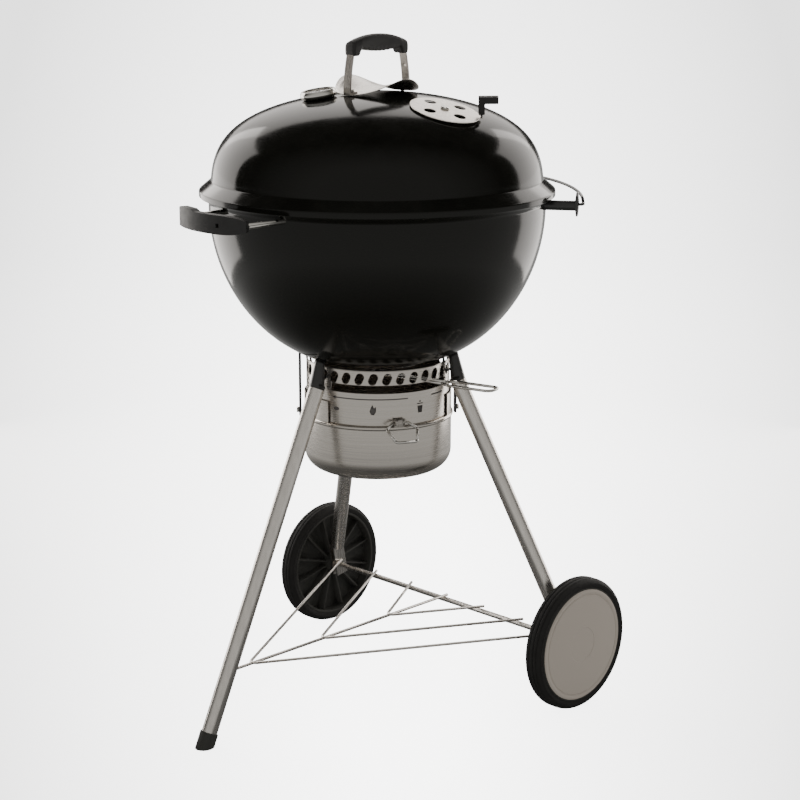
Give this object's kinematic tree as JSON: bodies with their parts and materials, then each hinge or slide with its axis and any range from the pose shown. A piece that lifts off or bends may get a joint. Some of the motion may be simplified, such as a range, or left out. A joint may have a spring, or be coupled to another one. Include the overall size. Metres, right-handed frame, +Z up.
{
  "type": "kettle charcoal grill",
  "caption": "Kettle charcoal grill: domed lid with damper and thermometer, enamelled bowl, perforated ash ring over a bucket, tube legs, wire rack and wheels.",
  "frame": {"origin": "on the ground under the middle of the whole grill", "axes": "+Z up, front faces -Y, the single leg and the left handle toward -X, the wheels' axle parallel to Y"},
  "size_m": [0.7266, 0.63, 1.0945],
  "materials": {
    "enamel": "glossy black porcelain enamel",
    "nylon": "fine-grained dark grey nylon",
    "aluminium_satin": "satin",
    "stainless": "brushed",
    "chrome_wire": "bright",
    "black_steel": "satin black paint",
    "grate_plated": "bright",
    "grate_dark": "dull, used",
    "rack_wire": "satin plated",
    "tyre": "matte black",
    "wheel_plastic": "matte black",
    "cap_grey": "matte warm grey",
    "dial": "matte white",
    "needle": "red",
    "glass": "clear",
    "blades": "dull"
  },
  "bodies": {
    "stand": {"bowl": "enamel", "left_handle_grip": "nylon", "right_handle_grip": "nylon", "handle_standoffs": "chrome_wire", "lid_holder_posts": "black_steel", "lid_holder_plates": "black_steel", "ash_ring": "stainless", "ring_brackets": "black_steel", "bucket_straps": "black_steel", "strap_pins": "chrome_wire", "grate_lugs": "black_steel", "leg_sockets": "black_steel", "single_leg": "aluminium_satin", "near_leg": "aluminium_satin", "far_leg": "aluminium_satin", "foot_cap": "black_steel", "near_shoe": "aluminium_satin", "far_shoe": "aluminium_satin", "axle": "aluminium_satin", "axle_nuts": "chrome_wire", "wire_rack": "rack_wire"},
    "lid": {"lid": "enamel", "lid_handle_straps": "stainless", "lid_handle_grip": "nylon", "heat_shield": "aluminium_satin", "handle_bolts": "chrome_wire", "damper_rivet": "chrome_wire", "thermometer_bezel": "stainless", "thermometer_dial": "dial", "thermometer_glass": "glass", "thermometer_probe": "chrome_wire"},
    "damper": {"damper": "aluminium_satin", "damper_grip": "nylon"},
    "needle": {"thermometer_needle": "needle"},
    "cooking_grate": {"cooking_grate": "grate_plated"},
    "left_flap": {"left_flap": "grate_plated"},
    "right_flap": {"right_flap": "grate_plated"},
    "grate_centre": {"grate_centre": "grate_plated"},
    "charcoal_grate": {"charcoal_grate": "grate_dark"},
    "sweeper": {"sweeper": "blades", "sweeper_lever": "chrome_wire"},
    "bucket": {"ash_bucket": "stainless", "bail_bracket": "stainless"},
    "bail": {"bucket_bail": "chrome_wire"},
    "lid_holder": {"lid_holder_wire": "black_steel"},
    "wheel_near": {"near_tyre": "tyre", "near_wheel": "wheel_plastic", "near_hub_cap": "cap_grey"},
    "wheel_far": {"far_tyre": "tyre", "far_wheel": "wheel_plastic", "far_hub_cap": "cap_grey"}
  },
  "joints": [
    {"name": "lid_lift", "type": "slide", "parent": "stand", "child": "lid", "axis": [0, 0, 1], "range_m": [0, 0.35]},
    {"name": "damper_turn", "type": "hinge", "parent": "lid", "child": "damper", "pos_m": [0.03458, -0.15, 0.98399], "axis": [0, -0.2775, 0.9607], "range_deg": [0, 45]},
    {"name": "needle_turn", "type": "hinge", "parent": "lid", "child": "needle", "pos_m": [-0.0517, 0.04208, 0.99585], "axis": [-0.1426, 0.0695, 0.9873], "range_deg": [-250, 0]},
    {"name": "cooking_grate_lift", "type": "slide", "parent": "stand", "child": "cooking_grate", "axis": [0, 0, 1], "range_m": [0, 0.04]},
    {"name": "left_flap_hinge", "type": "hinge", "parent": "cooking_grate", "child": "left_flap", "pos_m": [-0.13242, 0, 0.7955], "axis": [0, 1, 0], "range_deg": [0, 90]},
    {"name": "right_flap_hinge", "type": "hinge", "parent": "cooking_grate", "child": "right_flap", "pos_m": [0.20158, 0, 0.7955], "axis": [0, -1, 0], "range_deg": [0, 90]},
    {"name": "grate_centre_lift", "type": "slide", "parent": "cooking_grate", "child": "grate_centre", "axis": [0, 0, 1], "range_m": [0, 0.1]},
    {"name": "charcoal_grate_lift", "type": "slide", "parent": "stand", "child": "charcoal_grate", "axis": [0, 0, 1], "range_m": [0, 0.08]},
    {"name": "sweeper_turn", "type": "hinge", "parent": "stand", "child": "sweeper", "pos_m": [0.03458, 0, 0.56], "axis": [0, 0, 1], "range_deg": [-85, 0]},
    {"name": "bucket_drop", "type": "slide", "parent": "stand", "child": "bucket", "axis": [0, 0, -1], "range_m": [0, 0.12]},
    {"name": "bail_swing", "type": "hinge", "parent": "bucket", "child": "bail", "pos_m": [-0.02457, -0.11125, 0.491], "axis": [0.8829, -0.4695, 0], "range_deg": [-60, 55]},
    {"name": "lid_holder_swing", "type": "hinge", "parent": "stand", "child": "lid_holder", "pos_m": [0.21698, 0, 0.832], "axis": [0, -1, 0], "range_deg": [0, 50]},
    {"name": "near_wheel_spin", "type": "hinge", "parent": "stand", "child": "wheel_near", "pos_m": [0.19718, 0, 0.1108], "axis": [0, 1, 0], "continuous": true},
    {"name": "far_wheel_spin", "type": "hinge", "parent": "stand", "child": "wheel_far", "pos_m": [0.19718, 0, 0.1108], "axis": [0, 1, 0], "continuous": true}
  ]
}
